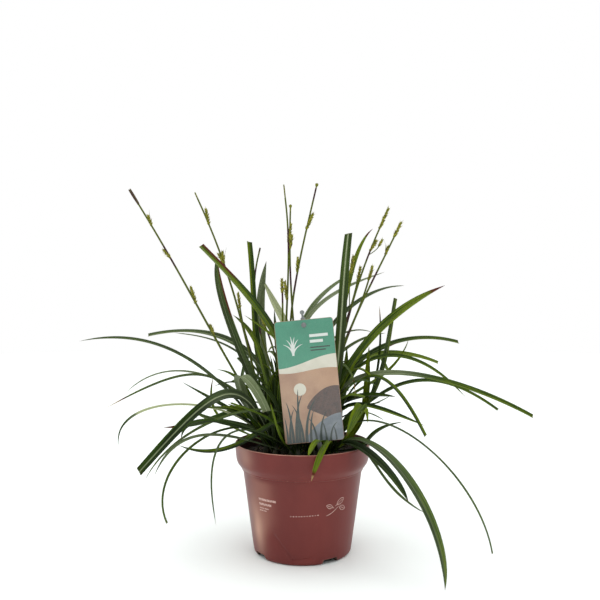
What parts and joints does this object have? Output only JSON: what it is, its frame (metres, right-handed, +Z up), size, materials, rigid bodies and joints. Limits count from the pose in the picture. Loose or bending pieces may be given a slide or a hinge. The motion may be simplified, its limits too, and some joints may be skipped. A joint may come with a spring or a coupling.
{
  "type": "potted carex sedge",
  "caption": "Tuft of arching dark green sedge blades with slender flowering culms, growing in soil in a tapered plastic nursery pot with a card label on a stake.",
  "frame": {"origin": "middle of the flat base of the pot, on the surface that it stands on", "axes": "+Z up; the front, with the label, faces -Y; +X to the right seen from the front"},
  "size_m": [0.4391, 0.2921, 0.3518],
  "materials": {
    "pot": "satin",
    "soil": "matte",
    "label": "satin",
    "stake": "satin",
    "leaf": "satin",
    "culm": "matte"
  },
  "bodies": {
    "root": {"pot": "pot", "soil": "soil", "label_card": "label", "label_stake": "stake", "culm_01": "culm", "culm_02": "culm", "culm_03": "culm", "culm_04": "culm", "culm_05": "culm", "culm_06": "culm", "culm_07": "culm", "culm_08": "culm", "culm_09": "culm", "culm_10": "culm", "culm_11": "culm", "culm_12": "culm", "culm_13": "culm", "shoot_01": "leaf", "shoot_02": "leaf", "shoot_03": "leaf", "shoot_04": "leaf", "shoot_05": "leaf", "shoot_06": "leaf", "shoot_07": "leaf", "shoot_08": "leaf", "shoot_09": "leaf", "shoot_10": "leaf", "shoot_11": "leaf", "shoot_12": "leaf", "shoot_13": "leaf", "shoot_14": "leaf", "shoot_15": "leaf", "shoot_16": "leaf", "shoot_17": "leaf", "shoot_18": "leaf", "shoot_19": "leaf", "shoot_20": "leaf"}
  },
  "joints": []
}
